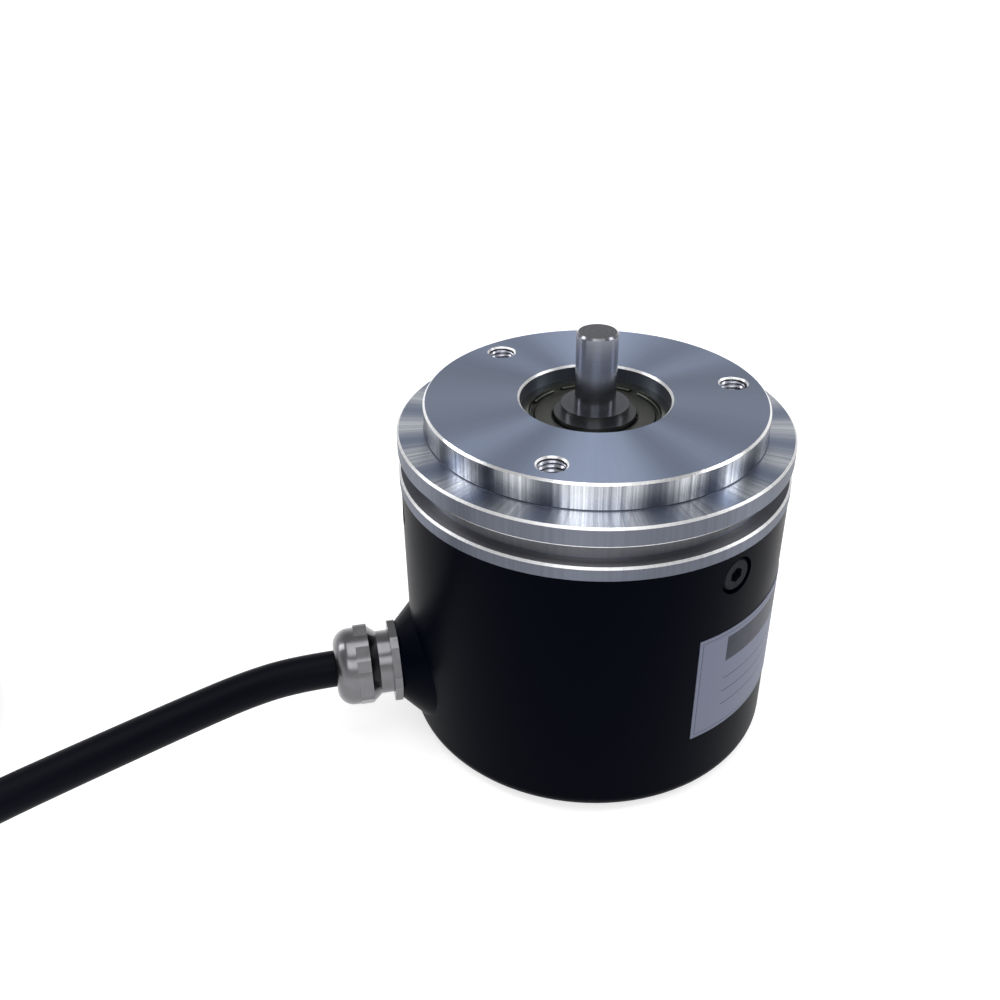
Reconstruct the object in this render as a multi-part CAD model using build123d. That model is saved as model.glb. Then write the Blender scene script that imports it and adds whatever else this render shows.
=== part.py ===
"""Incremental rotary encoder with a 58 mm servo flange and a side cable outlet.

Millimetres, +Z up. The origin is the centre of the base, on the shaft's axis.
The first tapped mounting hole lies on +X, and the cable leaves towards -X.
"""

from build123d import *
from math import cos, pi, radians, sin, tan
import os

os.makedirs("parts", exist_ok=True)

# Servo flange, from its top face down
rim_diameter = 58.0
shoulder_width = 4.0
pilot_height = 4.0
upper_rim_height = 3.0
groove_depth = 2.5
groove_height = 3.0
lower_rim_height = 2.0
spigot_height = 7.0
spigot_wall = 2.6
plate_thickness = 10.5
edge_chamfer = 0.3

# Tapped holes for mounting, in the pilot's face
mount_hole_count = 3
mount_hole_inset = 4.0
mount_hole_diameter = 4.0
mount_hole_depth = 8.0
mount_hole_chamfer = 0.25

# Cup-shaped housing
housing_height = 42.0
housing_inset = 0.1
housing_wall = 2.2
floor_thickness = 2.5
base_fillet = 2.5
spigot_clearance = 0.05

# Screws through the cup's wall into the spigot
wall_screw_count = 3
wall_screw_azimuth = -62.0
wall_screw_drop = 3.8
wall_screw_head_diameter = 5.0
wall_screw_head_height = 1.3
wall_screw_diameter = 3.0
wall_screw_length = 4.6
counterbore_diameter = 5.7
counterbore_depth = 1.5
socket_width = 2.0
socket_depth = 0.8

# Square-cut seal ring in the spigot's groove
seal_section = 1.2
seal_drop = 0.6
seal_gap = 0.02

# Ball bearings, two alike
bearing_bore = 8.0
bearing_diameter = 22.0
bearing_width = 7.0
ball_diameter = 3.969
ball_count = 7
outer_land_diameter = 18.0
inner_land_diameter = 12.0
race_clearance = 0.06
shield_seat_diameter = 19.4
shield_seat_depth = 0.8
shield_bore = 12.4
shield_thickness = 0.3
cage_thickness = 0.9
cage_height = 4.9
pocket_clearance = 0.08
front_bearing_recess = 2.3
bearing_spacing = 7.0
seat_shoulder_diameter = 19.0

# Flange hub round the bearings, with what holds them
hub_diameter = 28.0
preload_washer_height = 0.8
preload_washer_sheet = 0.4
retaining_ring_thickness = 1.0
retaining_ring_width = 2.2
ring_groove_depth = 0.4
ring_slot_gap = 5.0
hub_skirt = 1.2

# Shaft
shaft_diameter = 6.0
shaft_projection = 10.0
shaft_chamfer = 0.3
collar_diameter = 10.0
collar_recess = 1.0
journal_tail = 2.0
tail_diameter = 6.0
tail_length = 6.6
spacer_wall = 1.4
circlip_thickness = 0.8
circlip_width = 1.9
circlip_groove_depth = 0.25
circlip_gap = 3.0

# Code disc with its hub
disc_gap = 1.69
disc_thickness = 0.3
disc_drop = 4.3
track_inset = 2.0
slot_count = 60
slot_length = 2.2
slot_share = 0.5
index_gap = 0.7
index_slot_width = 0.8
index_azimuth = 60.0
disc_hub_diameter = 12.0
disc_hub_height = 2.4
disc_flange_diameter = 17.6
disc_flange_thickness = 1.4
disc_spigot_diameter = 10.0
clamp_ring_thickness = 1.0
disc_screw_count = 3
disc_screw_circle = 13.8
disc_screw_diameter = 1.6
disc_screw_head_diameter = 2.6
disc_screw_head_height = 0.5
grub_screw_count = 2
grub_screw_diameter = 2.5

# Circuit board below the disc
board_gap = 2.2
board_thickness = 1.6
board_drop = 2.9
pillar_count = 3
pillar_width = 4.0
pillar_gap = 0.24
pillar_azimuth = 30.0
pillar_stud_diameter = 2.5
pillar_stud_length = 2.0
board_screw_diameter = 2.1
board_screw_length = 4.5
board_screw_head_diameter = 4.0
board_screw_head_height = 1.6

# Optics on the board, at the disc's +Y edge
sensor_width = 7.0
sensor_depth = 5.0
sensor_height = 1.5
reticle_thickness = 0.5
reticle_margin = 0.5
reticle_slot_count = 4
bracket_width = 9.0
bracket_post_depth = 4.0
bracket_disc_gap = 1.0
bracket_arm_thickness = 1.6
bracket_reach = 3.0
lamp_diameter = 3.0
lamp_rim_diameter = 3.8
lamp_rim_height = 0.4
lamp_gap = 0.5

# Parts on the board's underside
chip_length = 10.0
chip_width = 4.0
chip_height = 1.7
chip_spacing = 8.0
header_length = 13.0
header_width = 5.0
header_height = 3.0
plug_height = 2.6
plug_margin = 0.6

# Cable gland, a turned body with a domed nut, stations measured from the shaft's axis
gland_azimuth = 182.0
gland_height = 10.6
boss_stand = 2.6
boss_face_diameter = 12.1
boss_flank = 45.0
boss_edge_fillet = 0.4
gland_thread_diameter = 10.0
gland_thread_clearance = 0.03
gland_inner_reach = 1.2
gland_width = 12.0
gland_flange_thickness = 1.2
gland_corner_diameter = 12.9
gland_turn = 34.0
gland_neck_length = 1.5
gland_neck_diameter = 10.0
gland_top_diameter = 9.6
gland_top_length = 3.0
gland_chamber_diameter = 8.2
nut_skirt_length = 0.5
nut_cone_length = 1.35
nut_band_length = 2.1
nut_corner_diameter = 13.4
nut_dome_diameter = 12.2
nut_dome_length = 3.45
nut_dome_round = 2.6
nut_turn = 17.0
nut_mouth_chamfer = 0.3
gland_seal_section = 0.7
gland_seal_diameter = 11.4
thrust_washer_thickness = 0.5
gland_clearance = 0.05

# Cable
cable_diameter = 5.8
cable_exit_clearance = 0.15
cable_exit_inset = 1.0
jacket_reach = 6.5
conductor_count = 5
conductor_diameter = 1.2
conductor_spacing = 1.3

# Cable route from the gland's mouth, chosen by hand: out level, then down to the coil
route = [
    (-47.4, -1.66, 10.6),
    (-55.0, -3.7, 10.6),
    (-64.5, -8.2, 10.6),
    (-76.0, -14.1, 10.7),
    (-88.0, -20.0, 10.5),
    (-99.5, -25.1, 9.2),
    (-110.5, -29.3, 6.4),
    (-120.5, -32.3, 4.4),
    (-129.8, -33.6, 3.92),
]

# Coil of the cable's unseen length, lying on its two ties
coil_centre = (-139.0, 4.0)
coil_mean_radius = 34.8
coil_columns = 2
coil_rows = 3
tie_thickness = 1.0
tie_width = 3.6
tie_clearance = 0.05
tie_azimuths = (60.0, 160.0)
tie_head_length = 6.0
tie_head_height = 3.2
entry_notch_length = 32.0
entry_notch_flare = 4.5
lead_azimuth = 235.0
lead_notch_length = 19.0
lead_straight = 3.5
lead_straight_step = 1.2
lead_runs = (5.5, 6.5, 8.5)
lead_turn_shares = (0.45, 1.0, 1.15)
lead_drops = (0.5, 0.95, 1.0)
lead_first_turn = -108.0
lead_turn_step = 11.5

# What follows from the driving dimensions
pilot_diameter = rim_diameter - 2 * shoulder_width
mount_hole_radius = pilot_diameter / 2 - mount_hole_inset
housing_diameter = rim_diameter - 2 * housing_inset
shoulder_z = housing_height + lower_rim_height + groove_height + upper_rim_height
top_z = shoulder_z + pilot_height
plate_z = top_z - plate_thickness
front_bearing_z = top_z - front_bearing_recess - bearing_width
rear_bearing_z = front_bearing_z - bearing_spacing - bearing_width
washer_z = rear_bearing_z - preload_washer_height
retaining_ring_z = washer_z - retaining_ring_thickness
hub_bottom_z = retaining_ring_z - hub_skirt
housing_bore_radius = housing_diameter / 2 - housing_wall
spigot_radius = housing_bore_radius - spigot_clearance
spigot_inner_radius = spigot_radius - spigot_wall
pillar_corner_radius = pillar_width / 3 ** 0.5
pillar_radius = spigot_inner_radius - pillar_gap - pillar_corner_radius
disc_radius = pillar_radius - pillar_corner_radius - disc_gap
track_radius = disc_radius - track_inset
index_radius = track_radius - slot_length - index_gap
board_radius = housing_bore_radius - board_gap
collar_top_z = top_z - collar_recess
journal_bottom_z = rear_bearing_z - journal_tail
shaft_bottom_z = journal_bottom_z - tail_length
disc_top_z = journal_bottom_z - disc_drop
disc_bottom_z = disc_top_z - disc_thickness
hub_flange_top_z = disc_top_z + disc_flange_thickness
board_top_z = disc_bottom_z - board_drop
board_bottom_z = board_top_z - board_thickness
pitch_radius = (bearing_bore + bearing_diameter) / 4
boss_face = housing_diameter / 2 + boss_stand
gland_inner_end = housing_bore_radius - gland_inner_reach
jacket_inner_end = gland_inner_end - jacket_reach
nut_band_start = boss_face + gland_flange_thickness + gland_neck_length + nut_skirt_length + nut_cone_length
nut_dome_start = nut_band_start + nut_band_length
nut_front = nut_dome_start + nut_dome_length
cable_radius = cable_diameter / 2
cable_exit = nut_front - cable_exit_inset
cable_hole_radius = cable_radius + cable_exit_clearance
coil_outer_turn = coil_mean_radius + cable_radius
coil_outer_radius = coil_mean_radius + coil_columns * cable_radius
coil_inner_radius = coil_mean_radius - coil_columns * cable_radius
coil_top_z = tie_thickness + coil_rows * cable_diameter


def turned(points):
    """A solid of revolution about Z from (radius, height) points."""
    outline = Plane.XZ * make_face(Polyline(*points, close=True))
    return revolve(outline, Axis.Z)


def ring(inner_diameter, outer_diameter, bottom, top):
    """A plain ring, or a disc where the inner diameter is zero."""
    body = Pos(0, 0, bottom) * Cylinder(outer_diameter / 2, top - bottom, align=STANDING)
    if inner_diameter:
        body -= Pos(0, 0, bottom) * Cylinder(inner_diameter / 2, top - bottom, align=STANDING)
    return body


def outward(azimuth, height):
    """A frame on the shaft's axis whose Z points out along an azimuth and whose X is up."""
    direction = (cos(radians(azimuth)), sin(radians(azimuth)), 0)
    return Plane(origin=(0, 0, height), x_dir=(0, 0, 1), z_dir=direction).location


def around(count, shape, start=0.0):
    """The same shape several times round the Z axis, as separate solids."""
    return [Rot(0, 0, start + k * 360 / count) * shape for k in range(count)]


def tube(points, diameter):
    """Straight runs joined by the largest tangent arcs, as one round tube."""
    corners = [Vector(*p) for p in points]
    radii = []
    for before, corner, after in zip(corners, corners[1:], corners[2:]):
        run_in = corner - before
        run_out = after - corner
        half_turn = radians(run_in.get_angle(run_out)) / 2
        radii.append(0.45 * min(run_in.length, run_out.length) / tan(half_turn))
    path = FilletPolyline(*corners, radius=radii)
    section = Plane(path @ 0, z_dir=path % 0) * Circle(diameter / 2)
    return sweep(section, path=path), path.length, radii


STANDING = (Align.CENTER, Align.CENTER, Align.MIN)


def make_flange():
    """Pilot, two rims with the clamping groove between, spigot, and the bearings' hub."""
    rim = rim_diameter / 2
    pilot = pilot_diameter / 2
    groove = rim - groove_depth
    seat = bearing_diameter / 2
    groove_top = shoulder_z - upper_rim_height
    lower_rim_top = housing_height + lower_rim_height
    spigot_bottom = housing_height - spigot_height
    c = edge_chamfer
    body = turned([
        (seat, top_z), (pilot - c, top_z), (pilot, top_z - c), (pilot, shoulder_z),
        (rim - c, shoulder_z), (rim, shoulder_z - c), (rim, groove_top + c), (rim - c, groove_top),
        (groove, groove_top), (groove, lower_rim_top),
        (rim - c, lower_rim_top), (rim, lower_rim_top - c), (rim, housing_height),
        (spigot_radius, housing_height), (spigot_radius, spigot_bottom + c),
        (spigot_radius - c, spigot_bottom), (spigot_inner_radius, spigot_bottom),
        (spigot_inner_radius, plate_z), (hub_diameter / 2, plate_z),
        (hub_diameter / 2, hub_bottom_z), (seat, hub_bottom_z),
        (seat, rear_bearing_z + bearing_width), (seat_shoulder_diameter / 2, rear_bearing_z + bearing_width),
        (seat_shoulder_diameter / 2, front_bearing_z), (seat, front_bearing_z),
    ])
    body = chamfer(body.edges().filter_by(GeomType.CIRCLE).group_by(Axis.Z)[-1].sort_by(SortBy.RADIUS)[0], c)
    body -= ring(0, bearing_diameter + 2 * ring_groove_depth, retaining_ring_z, washer_z)
    hole = Cone(mount_hole_diameter / 2, mount_hole_diameter / 2 + mount_hole_chamfer,
                mount_hole_chamfer, align=(Align.CENTER, Align.CENTER, Align.MAX))
    hole += Cylinder(mount_hole_diameter / 2, mount_hole_depth, align=(Align.CENTER, Align.CENTER, Align.MAX))
    body -= around(mount_hole_count, Pos(mount_hole_radius, 0, top_z) * hole)
    seal_groove_top = housing_height - seal_drop
    body -= ring(2 * (housing_bore_radius - seal_section - 2 * seal_gap), 2 * spigot_radius + 1,
                 seal_groove_top - seal_section - 2 * seal_gap, seal_groove_top)
    thread = Cylinder(wall_screw_diameter / 2, spigot_radius, align=STANDING)
    for k in range(wall_screw_count):
        place = outward(wall_screw_azimuth + k * 360 / wall_screw_count, housing_height - wall_screw_drop)
        body -= place * Pos(0, 0, spigot_inner_radius - 1) * thread
    stud = Cylinder(pillar_stud_diameter / 2, pillar_stud_length, align=STANDING)
    body -= around(pillar_count, Pos(pillar_radius, 0, plate_z) * stud, pillar_azimuth)
    return body


def make_housing():
    """The cup, with counterbored wall screws and a coned boss for the gland."""
    cup = ring(0, housing_diameter, 0, housing_height)
    cup = fillet(cup.edges().group_by(Axis.Z)[0], base_fillet)
    flank = boss_stand + housing_wall
    boss = Cone(boss_face_diameter / 2 + flank * tan(radians(boss_flank)), boss_face_diameter / 2,
                flank, align=STANDING)
    boss = fillet(boss.edges().group_by(Axis.Z)[-1], boss_edge_fillet)
    gland_place = outward(gland_azimuth, gland_height)
    cup += gland_place * Pos(0, 0, boss_face - flank) * boss
    cup -= ring(0, 2 * housing_bore_radius, floor_thickness, housing_height)
    bore = Cylinder(gland_thread_diameter / 2 + gland_thread_clearance, housing_diameter, align=STANDING)
    cup -= gland_place * bore
    recess = Cylinder(counterbore_diameter / 2, housing_diameter, align=STANDING)
    through = Cylinder(wall_screw_diameter / 2, housing_diameter, align=STANDING)
    for k in range(wall_screw_count):
        place = outward(wall_screw_azimuth + k * 360 / wall_screw_count, housing_height - wall_screw_drop)
        cup -= place * Pos(0, 0, housing_diameter / 2 - counterbore_depth) * recess
        cup -= place * through
    return cup


def make_wall_screws():
    """Low-head socket screws, lying radially in the wall."""
    head = Cylinder(wall_screw_head_diameter / 2, wall_screw_head_height, align=STANDING)
    head = chamfer(head.edges().group_by(Axis.Z)[-1], edge_chamfer)
    socket = extrude(RegularPolygon(socket_width / 2, 6, major_radius=False), socket_depth)
    head -= Pos(0, 0, wall_screw_head_height - socket_depth) * socket
    shank = Pos(0, 0, -wall_screw_length) * Cylinder(wall_screw_diameter / 2, wall_screw_length, align=STANDING)
    screw = Pos(0, 0, housing_diameter / 2 - counterbore_depth) * (head + shank)
    step = 360 / wall_screw_count
    height = housing_height - wall_screw_drop
    return [outward(wall_screw_azimuth + k * step, height) * screw for k in range(wall_screw_count)]


def make_housing_seal():
    """The rubber ring between spigot and cup."""
    top = housing_height - seal_drop - seal_gap
    outer = 2 * (housing_bore_radius - seal_gap)
    return ring(outer - 2 * seal_section, outer, top - seal_section, top)


def race_groove(bottom):
    """The groove that the balls run in, cut from both bearing rings."""
    return Pos(0, 0, bottom + bearing_width / 2) * Torus(pitch_radius, ball_diameter / 2 + race_clearance)


def make_outer_ring(bottom):
    """Outer race, with a seat at each face for its shield."""
    body = ring(outer_land_diameter, bearing_diameter, bottom, bottom + bearing_width)
    for low in (bottom, bottom + bearing_width - shield_seat_depth):
        body -= ring(0, shield_seat_diameter, low, low + shield_seat_depth)
    return body - race_groove(bottom)


def make_inner_ring(bottom):
    """Inner race, pressed on the shaft's journal."""
    body = ring(bearing_bore, inner_land_diameter, bottom, bottom + bearing_width)
    return body - race_groove(bottom)


def make_shields(bottom):
    """Two pressed sheet rings that close the bearing's faces."""
    inset = shield_seat_depth - shield_thickness
    low = ring(shield_bore, shield_seat_diameter, bottom + inset, bottom + shield_seat_depth)
    top = bottom + bearing_width
    high = ring(shield_bore, shield_seat_diameter, top - shield_seat_depth, top - inset)
    return [low, high]


def make_balls(bottom):
    """Seven steel balls on the pitch circle."""
    return around(ball_count, Pos(pitch_radius, 0, bottom + bearing_width / 2) * Sphere(ball_diameter / 2))


def make_cage(bottom):
    """A flat band with a round pocket for each ball."""
    middle = bottom + bearing_width / 2
    inner = 2 * pitch_radius - cage_thickness
    outer = 2 * pitch_radius + cage_thickness
    band = ring(inner, outer, middle - cage_height / 2, middle + cage_height / 2)
    pocket = Rot(0, 90, 0) * Cylinder(ball_diameter / 2 + pocket_clearance, 4 * cage_thickness)
    return band - around(ball_count, Pos(pitch_radius, 0, middle) * pocket)


def make_shaft():
    """Output shaft with its collar, the bearings' journal and the tail for the disc hub."""
    tip_z = top_z + shaft_projection
    collar_bottom = top_z - front_bearing_recess
    out = shaft_diameter / 2
    body = turned([
        (0, tip_z), (out - shaft_chamfer, tip_z), (out, tip_z - shaft_chamfer), (out, collar_top_z),
        (collar_diameter / 2, collar_top_z), (collar_diameter / 2, collar_bottom),
        (bearing_bore / 2, collar_bottom), (bearing_bore / 2, journal_bottom_z),
        (tail_diameter / 2, journal_bottom_z), (tail_diameter / 2, shaft_bottom_z), (0, shaft_bottom_z),
    ])
    groove = ring(bearing_bore - 2 * circlip_groove_depth, bearing_bore + 1,
                  rear_bearing_z - circlip_thickness, rear_bearing_z)
    return body - groove


def split_ring(inner_diameter, outer_diameter, bottom, thickness, gap):
    """A snap ring, open at +X."""
    opening = Pos(outer_diameter / 2, 0, bottom) * Box(outer_diameter, gap, thickness, align=STANDING)
    return ring(inner_diameter, outer_diameter, bottom, bottom + thickness) - opening


def make_preload_washer():
    """A coned spring washer that takes the play out of the bearings."""
    outer = bearing_diameter / 2 - gland_clearance
    inner = outer - retaining_ring_width
    top = rear_bearing_z
    return turned([
        (outer, top), (outer, top - preload_washer_sheet),
        (inner, washer_z), (inner, washer_z + preload_washer_sheet),
    ])


def make_disc_hub():
    """The collar that carries the code disc on the shaft's tail."""
    boss = ring(0, disc_hub_diameter, hub_flange_top_z, hub_flange_top_z + disc_hub_height)
    plate = ring(0, disc_flange_diameter, disc_top_z, hub_flange_top_z)
    spigot = ring(0, disc_spigot_diameter, disc_bottom_z - clamp_ring_thickness, disc_top_z)
    body = boss + plate + spigot
    body -= ring(0, tail_diameter, shaft_bottom_z - 1, journal_bottom_z)
    thread = Cylinder(disc_screw_diameter / 2, disc_flange_thickness, align=STANDING)
    body -= around(disc_screw_count, Pos(disc_screw_circle / 2, 0, disc_top_z) * thread)
    grub = Cylinder(grub_screw_diameter / 2, disc_hub_diameter, align=STANDING)
    height = hub_flange_top_z + disc_hub_height / 2
    for k in range(grub_screw_count):
        body -= outward(k * 90.0, height) * grub
    return body


def make_code_disc():
    """A thin metal disc with one ring of slots and a single index slot."""
    disc = ring(disc_spigot_diameter, 2 * disc_radius, disc_bottom_z, disc_top_z)
    slot_width = slot_share * 2 * pi * track_radius / slot_count
    slot = Box(slot_length, slot_width, 2 * disc_thickness)
    index = Box(slot_length, index_slot_width, 2 * disc_thickness)
    screw = Cylinder(disc_screw_diameter / 2, 2 * disc_thickness)
    cuts = around(slot_count, Pos(track_radius, 0, disc_top_z) * slot)
    cuts.append(Rot(0, 0, index_azimuth) * Pos(index_radius, 0, disc_top_z) * index)
    cuts += around(disc_screw_count, Pos(disc_screw_circle / 2, 0, disc_top_z) * screw)
    return disc - cuts


def make_clamp_ring():
    """Presses the disc against its hub."""
    top = disc_bottom_z
    body = ring(disc_spigot_diameter, disc_flange_diameter, top - clamp_ring_thickness, top)
    screw = Cylinder(disc_screw_diameter / 2, 3 * clamp_ring_thickness)
    return body - around(disc_screw_count, Pos(disc_screw_circle / 2, 0, top) * screw)


def make_disc_screws():
    """Three small screws, heads down, through ring and disc into the hub."""
    seat = disc_bottom_z - clamp_ring_thickness
    head = ring(0, disc_screw_head_diameter, seat - disc_screw_head_height, seat)
    shank = ring(0, disc_screw_diameter, seat, hub_flange_top_z - 0.2)
    return around(disc_screw_count, Pos(disc_screw_circle / 2, 0, 0) * (head + shank))


def make_grub_screws():
    """Two set screws at right angles that lock the hub on the shaft."""
    length = (disc_hub_diameter - tail_diameter) / 2
    screw = Cylinder(grub_screw_diameter / 2, length, align=STANDING)
    socket = extrude(RegularPolygon(grub_screw_diameter / 4, 6), length / 2)
    screw -= Pos(0, 0, length / 2) * socket
    height = hub_flange_top_z + disc_hub_height / 2
    return [outward(k * 90.0, height) * Pos(0, 0, tail_diameter / 2) * screw for k in range(grub_screw_count)]


def make_board():
    """The round circuit board, hung from the flange on three pillars."""
    board = ring(0, 2 * board_radius, board_bottom_z, board_top_z)
    hole = ring(0, board_screw_diameter, board_bottom_z, board_top_z)
    return board - around(pillar_count, Pos(pillar_radius, 0, 0) * hole, pillar_azimuth)


def make_pillars():
    """Hexagonal spacers with a stud at the top and a tapped hole below."""
    hexagon = RegularPolygon(pillar_width / 2, 6, major_radius=False)
    pillar = Pos(0, 0, board_top_z) * extrude(hexagon, plate_z - board_top_z)
    pillar += ring(0, pillar_stud_diameter, plate_z, plate_z + pillar_stud_length)
    pillar -= ring(0, board_screw_diameter, board_top_z, board_top_z + board_screw_length)
    return around(pillar_count, Pos(pillar_radius, 0, 0) * pillar, pillar_azimuth)


def make_board_screws():
    """Pan-head screws from below."""
    head = ring(0, board_screw_head_diameter, board_bottom_z - board_screw_head_height, board_bottom_z)
    head = chamfer(head.edges().group_by(Axis.Z)[0], board_screw_head_height / 3)
    length = board_thickness + board_screw_length
    shank = ring(0, board_screw_diameter, board_bottom_z, board_bottom_z + length)
    return around(pillar_count, Pos(pillar_radius, 0, 0) * (head + shank), pillar_azimuth)


def make_sensor():
    """The photodetector array under the disc's track."""
    return Pos(0, track_radius, board_top_z) * Box(sensor_width, sensor_depth, sensor_height, align=STANDING)


def make_reticle():
    """The fixed mask on the detector, with one window for each channel."""
    width = sensor_width - reticle_margin
    depth = sensor_depth - reticle_margin
    place = Pos(0, track_radius, board_top_z + sensor_height)
    plate = Box(width, depth, reticle_thickness, align=STANDING)
    step = width / (reticle_slot_count + 1)
    for k in range(reticle_slot_count):
        window = Box(step / 2, slot_length, 3 * reticle_thickness)
        plate -= Pos((k + 1) * step - width / 2, 0, 0) * window
    return place * plate


def make_bracket():
    """A moulded arm that stands on the board and holds the lamp over the disc."""
    inner_face = disc_radius + bracket_disc_gap
    arm_bottom = disc_top_z + bracket_disc_gap
    arm_top = arm_bottom + bracket_arm_thickness
    reach = track_radius - bracket_reach
    outer_face = inner_face + bracket_post_depth
    post = Pos(0, (inner_face + outer_face) / 2, board_top_z) * Box(
        bracket_width, bracket_post_depth, arm_top - board_top_z, align=STANDING)
    arm = Pos(0, (reach + outer_face) / 2, arm_bottom) * Box(
        bracket_width, outer_face - reach, bracket_arm_thickness, align=STANDING)
    body = post + arm
    return body - Pos(0, track_radius, 0) * ring(0, lamp_diameter, arm_bottom, arm_top)


def make_lamp():
    """The light source, held in the arm by its rim."""
    arm_top = disc_top_z + bracket_disc_gap + bracket_arm_thickness
    stem = ring(0, lamp_diameter, disc_top_z + lamp_gap, arm_top)
    rim = ring(0, lamp_rim_diameter, arm_top, arm_top + lamp_rim_height)
    return Pos(0, track_radius, 0) * (stem + rim)


def make_chips():
    """Line driver and comparator under the board."""
    chip = Box(chip_length, chip_width, chip_height, align=(Align.CENTER, Align.CENTER, Align.MAX))
    chip = chamfer(chip.edges().group_by(Axis.Z)[0], edge_chamfer)
    return [Pos(chip_length / 2, side * chip_spacing / 2, board_bottom_z) * chip for side in (-1, 1)]


def header_centre():
    """The connector lies under the board, across the line of the cable."""
    direction = radians(gland_azimuth)
    distance = jacket_inner_end / 2
    return cos(direction) * distance, sin(direction) * distance


def make_header():
    """Pin header for the cable's conductors."""
    x, y = header_centre()
    box = Box(header_width, header_length, header_height, align=(Align.CENTER, Align.CENTER, Align.MAX))
    return Pos(x, y, board_bottom_z) * Rot(0, 0, gland_azimuth - 180) * box


def make_plug():
    """The plug pushed on the header from below."""
    x, y = header_centre()
    box = Box(header_width - plug_margin, header_length - plug_margin, plug_height,
              align=(Align.CENTER, Align.CENTER, Align.MAX))
    box = chamfer(box.edges().group_by(Axis.Z)[0], edge_chamfer)
    return Pos(x, y, board_bottom_z - header_height) * Rot(0, 0, gland_azimuth - 180) * box


def make_conductors():
    """Insulated wires from the stripped jacket to the plug."""
    x, y = header_centre()
    turn = Pos(x, y, 0) * Rot(0, 0, gland_azimuth - 180)
    plug_bottom = board_bottom_z - header_height - plug_height
    reach = jacket_inner_end / 2
    wires = []
    for k in range(conductor_count):
        side = (k - (conductor_count - 1) / 2) * conductor_spacing
        squeeze = side * (cable_diameter / 2 - conductor_diameter) / (2 * conductor_spacing)
        rise = plug_bottom - gland_height
        points = [(-reach, squeeze, gland_height), (-reach / 2, squeeze, gland_height),
                  (0, side, gland_height + rise / 3), (0, side, plug_bottom)]
        places = [(turn * Pos(*p)).position for p in points]
        wire, _, _ = tube(places, conductor_diameter)
        wires.append(wire)
    return wires


def make_gland_body():
    """Threaded into the boss, with a hexagon, a turned neck and the seal's chamber."""
    hex_end = boss_face + gland_flange_thickness
    neck_end = hex_end + gland_neck_length
    hexagon = extrude(RegularPolygon(gland_width / 2, 6, major_radius=False, rotation=gland_turn),
                      gland_flange_thickness)
    hexagon &= Cylinder(gland_corner_diameter / 2, gland_flange_thickness, align=STANDING)
    body = Pos(0, 0, boss_face) * hexagon
    body += ring(0, gland_thread_diameter, gland_inner_end, boss_face)
    body += ring(0, gland_neck_diameter, hex_end, neck_end)
    body += ring(0, gland_top_diameter, neck_end, neck_end + gland_top_length)
    body -= ring(0, 2 * cable_hole_radius, gland_inner_end, neck_end + gland_top_length)
    body -= ring(0, gland_chamber_diameter, hex_end, neck_end + gland_top_length)
    body -= ring(gland_thread_diameter, gland_seal_diameter, boss_face, boss_face + gland_seal_section)
    return outward(gland_azimuth, gland_height) * body


def make_gland_gasket():
    """The small seal under the gland's hexagon."""
    gasket = ring(gland_thread_diameter, gland_seal_diameter - gland_clearance, boss_face,
                  boss_face + gland_seal_section)
    return outward(gland_azimuth, gland_height) * gasket


def make_gland_seal():
    """The rubber bush that grips the cable."""
    start = boss_face + gland_flange_thickness
    end = start + gland_neck_length + gland_top_length
    bush = ring(cable_diameter, gland_chamber_diameter - 2 * gland_clearance, start, end)
    bush = chamfer(bush.edges().group_by(Axis.Z)[-1].sort_by(SortBy.RADIUS)[-1], edge_chamfer)
    return outward(gland_azimuth, gland_height) * bush


def make_thrust_washer():
    """A slip washer between the bush and the nut."""
    start = boss_face + gland_flange_thickness + gland_neck_length + gland_top_length
    washer = ring(2 * cable_hole_radius, gland_chamber_diameter, start, start + thrust_washer_thickness)
    return outward(gland_azimuth, gland_height) * washer


def make_gland_nut():
    """Domed nut: a skirt, a cone, a narrow hexagon band and a rounded front."""
    skirt_start = boss_face + gland_flange_thickness + gland_neck_length
    cone_start = skirt_start + nut_skirt_length
    dome = nut_dome_diameter / 2
    skirt = gland_neck_diameter / 2
    outside = turned([
        (0, skirt_start), (skirt, skirt_start), (skirt, cone_start), (dome, nut_band_start),
        (dome, nut_front), (0, nut_front),
    ])
    outside = fillet(outside.edges().group_by(Axis.Z)[-1], nut_dome_round)
    band = extrude(RegularPolygon(gland_width / 2, 6, major_radius=False, rotation=nut_turn), nut_band_length)
    band &= Cylinder(nut_corner_diameter / 2, nut_band_length, align=STANDING)
    body = outside + Pos(0, 0, nut_band_start) * band
    thread_end = skirt_start + gland_top_length + thrust_washer_thickness
    body -= ring(0, gland_top_diameter + 2 * gland_clearance, skirt_start, thread_end)
    body -= ring(0, 2 * cable_hole_radius, skirt_start, nut_front)
    mouth = Cone(cable_hole_radius, cable_hole_radius + nut_mouth_chamfer, nut_mouth_chamfer, align=STANDING)
    body -= Pos(0, 0, nut_front - nut_mouth_chamfer) * mouth
    return outward(gland_azimuth, gland_height) * body


def make_cable_entry():
    """The jacket's straight end inside the gland."""
    return outward(gland_azimuth, gland_height) * ring(0, cable_diameter, jacket_inner_end, cable_exit)


def exit_point():
    """Where the free cable begins, just inside the nut's mouth."""
    direction = radians(gland_azimuth)
    return (cos(direction) * cable_exit, sin(direction) * cable_exit, gland_height)


def coil_entry():
    """Where the cable becomes the coil's first turn, at the coil's -Y side."""
    return (coil_centre[0], coil_centre[1] - coil_outer_turn, tie_thickness + cable_radius)


def make_cable_run():
    """The free cable from the gland down to the coil."""
    body, length, radii = tube([exit_point(), *route, coil_entry()], cable_diameter)
    section = pi * cable_radius ** 2
    print("cable run", round(length, 1), "mm, radii", [round(r, 1) for r in radii])
    print("volume against section times length", round(body.volume / (section * length), 5))
    return body


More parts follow.
